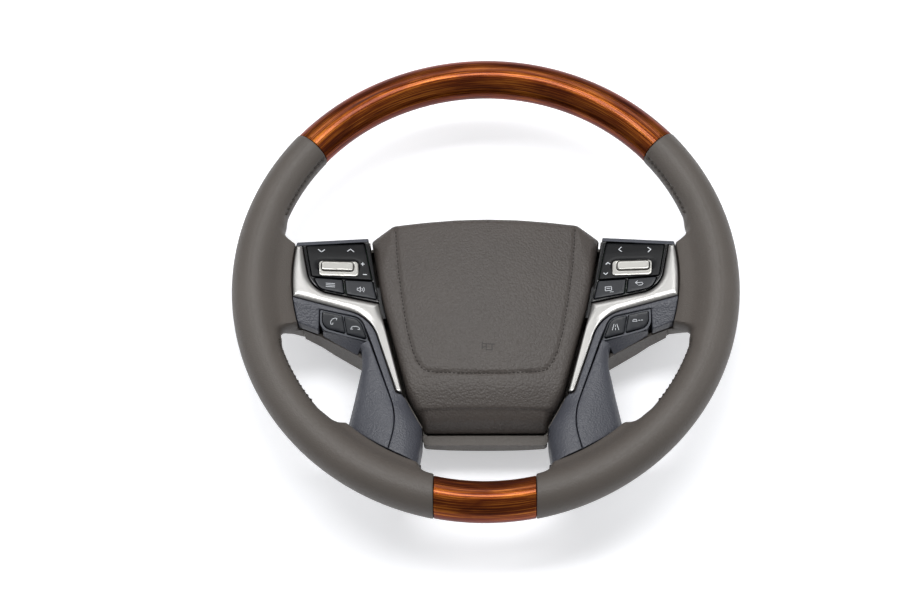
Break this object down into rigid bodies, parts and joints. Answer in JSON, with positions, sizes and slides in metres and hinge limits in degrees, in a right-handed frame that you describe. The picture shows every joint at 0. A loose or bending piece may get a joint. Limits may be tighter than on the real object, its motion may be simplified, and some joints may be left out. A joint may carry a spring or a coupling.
{
  "type": "car steering wheel",
  "caption": "Car steering wheel with a wood and leather rim, a sprung horn pad over the airbag and thumb switches on both side spokes.",
  "frame": {"origin": "centre of the steering column bore at its rear mouth, level with the plane that the wheel rests on", "axes": "+Z along the column towards the driver, +Y to the top of the wheel, +X to the driver's right"},
  "size_m": [0.3848, 0.3842, 0.0877],
  "materials": {
    "cast_alloy": "as cast, bead blasted",
    "lacquered_wood": "high gloss lacquer over dark grain",
    "taupe_leather": "smooth fine grain",
    "taupe_moulding": "leather grain moulded in",
    "satin_silver": "satin metallic",
    "slate_moulding": "fine leather grain",
    "black_gloss": "polished black",
    "black_pad": "soft black paint",
    "button_slate": "fine matte",
    "zinc_steel": "zinc plated",
    "spring_steel": "drawn wire",
    "white_fabric": "folded woven nylon",
    "board_green": "solder mask",
    "natural_nylon": "moulded",
    "brass": "turned"
  },
  "bodies": {
    "wheel": {"armature": "cast_alloy", "rim_core": "zinc_steel", "wood_grip_top": "lacquered_wood", "wood_grip_bottom": "lacquered_wood", "leather_grip_right": "taupe_leather", "leather_grip_left": "taupe_leather", "rear_cover": "taupe_moulding", "rear_cover_screws": "zinc_steel", "horn_contact": "brass", "horn_springs": "spring_steel", "right_bezel": "satin_silver", "right_inner_cover": "slate_moulding", "right_outer_cover": "slate_moulding", "right_switch_housing": "black_gloss", "right_switch_board": "board_green", "right_lower_housing": "black_gloss", "left_bezel": "satin_silver", "left_inner_cover": "slate_moulding", "left_outer_cover": "slate_moulding", "left_switch_housing": "black_gloss", "left_switch_board": "board_green", "left_lower_housing": "black_gloss"},
    "horn_pad": {"airbag_cover": "taupe_moulding", "airbag_tray": "zinc_steel", "airbag_cushion": "white_fabric", "inflator": "zinc_steel", "guide_pins": "zinc_steel"},
    "right_gimbal": {"right_cradle": "natural_nylon"},
    "right_pad": {"right_four_way_pad": "black_pad", "right_pad_ring": "satin_silver"},
    "right_centre": {"right_centre_button": "satin_silver"},
    "right_display_button_body": {"right_display_button": "button_slate"},
    "right_return_button_body": {"right_return_button": "button_slate"},
    "right_lane_button_body": {"right_lane_button": "button_slate"},
    "right_distance_button_body": {"right_distance_button": "button_slate"},
    "left_gimbal": {"left_cradle": "natural_nylon"},
    "left_pad": {"left_four_way_pad": "black_pad", "left_pad_ring": "satin_silver"},
    "left_centre": {"left_centre_button": "satin_silver"},
    "left_voice_button_body": {"left_voice_button": "button_slate"},
    "left_source_button_body": {"left_source_button": "button_slate"},
    "left_hang_up_button_body": {"left_hang_up_button": "button_slate"},
    "left_call_button_body": {"left_call_button": "button_slate"}
  },
  "joints": [
    {"name": "horn_press", "type": "slide", "parent": "wheel", "child": "horn_pad", "axis": [0, 0, -1], "range_m": [0, 0.002], "stiffness_N_per_m": 6000, "springref_m": -0.008, "deforming": ["horn_springs"]},
    {"name": "right_pad_sideways", "type": "hinge", "parent": "wheel", "child": "right_gimbal", "pos_m": [0.11321, 0.023, 0.05634], "axis": [0, 1, 0], "range_deg": [-2, 2], "stiffness_Nm_per_rad": 0.8},
    {"name": "right_pad_up_down", "type": "hinge", "parent": "right_gimbal", "child": "right_pad", "pos_m": [0.11321, 0.023, 0.05634], "axis": [0.9859, 0, 0.1676], "range_deg": [-2.5, 2.5], "stiffness_Nm_per_rad": 0.8},
    {"name": "right_centre_press", "type": "slide", "parent": "right_pad", "child": "right_centre", "axis": [0, 0, -1], "range_m": [0, 0.0006], "stiffness_N_per_m": 900, "springref_m": -0.001},
    {"name": "right_display_button_press", "type": "slide", "parent": "wheel", "child": "right_display_button_body", "axis": [0, 0, -1], "range_m": [0, 0.0008], "stiffness_N_per_m": 900, "springref_m": -0.001},
    {"name": "right_return_button_press", "type": "slide", "parent": "wheel", "child": "right_return_button_body", "axis": [0, 0, -1], "range_m": [0, 0.0008], "stiffness_N_per_m": 900, "springref_m": -0.001},
    {"name": "right_lane_button_press", "type": "slide", "parent": "wheel", "child": "right_lane_button_body", "axis": [0, 0, -1], "range_m": [0, 0.0008], "stiffness_N_per_m": 900, "springref_m": -0.001},
    {"name": "right_distance_button_press", "type": "slide", "parent": "wheel", "child": "right_distance_button_body", "axis": [0, 0, -1], "range_m": [0, 0.0008], "stiffness_N_per_m": 900, "springref_m": -0.001},
    {"name": "left_pad_sideways", "type": "hinge", "parent": "wheel", "child": "left_gimbal", "pos_m": [-0.11321, 0.023, 0.05634], "axis": [0, 1, 0], "range_deg": [-2, 2], "stiffness_Nm_per_rad": 0.8},
    {"name": "left_pad_up_down", "type": "hinge", "parent": "left_gimbal", "child": "left_pad", "pos_m": [-0.11321, 0.023, 0.05634], "axis": [-0.9859, 0, 0.1676], "range_deg": [-2.5, 2.5], "stiffness_Nm_per_rad": 0.8},
    {"name": "left_centre_press", "type": "slide", "parent": "left_pad", "child": "left_centre", "axis": [0, 0, -1], "range_m": [0, 0.0006], "stiffness_N_per_m": 900, "springref_m": -0.001},
    {"name": "left_voice_button_press", "type": "slide", "parent": "wheel", "child": "left_voice_button_body", "axis": [0, 0, -1], "range_m": [0, 0.0008], "stiffness_N_per_m": 900, "springref_m": -0.001},
    {"name": "left_source_button_press", "type": "slide", "parent": "wheel", "child": "left_source_button_body", "axis": [0, 0, -1], "range_m": [0, 0.0008], "stiffness_N_per_m": 900, "springref_m": -0.001},
    {"name": "left_hang_up_button_press", "type": "slide", "parent": "wheel", "child": "left_hang_up_button_body", "axis": [0, 0, -1], "range_m": [0, 0.0008], "stiffness_N_per_m": 900, "springref_m": -0.001},
    {"name": "left_call_button_press", "type": "slide", "parent": "wheel", "child": "left_call_button_body", "axis": [0, 0, -1], "range_m": [0, 0.0008], "stiffness_N_per_m": 900, "springref_m": -0.001}
  ]
}
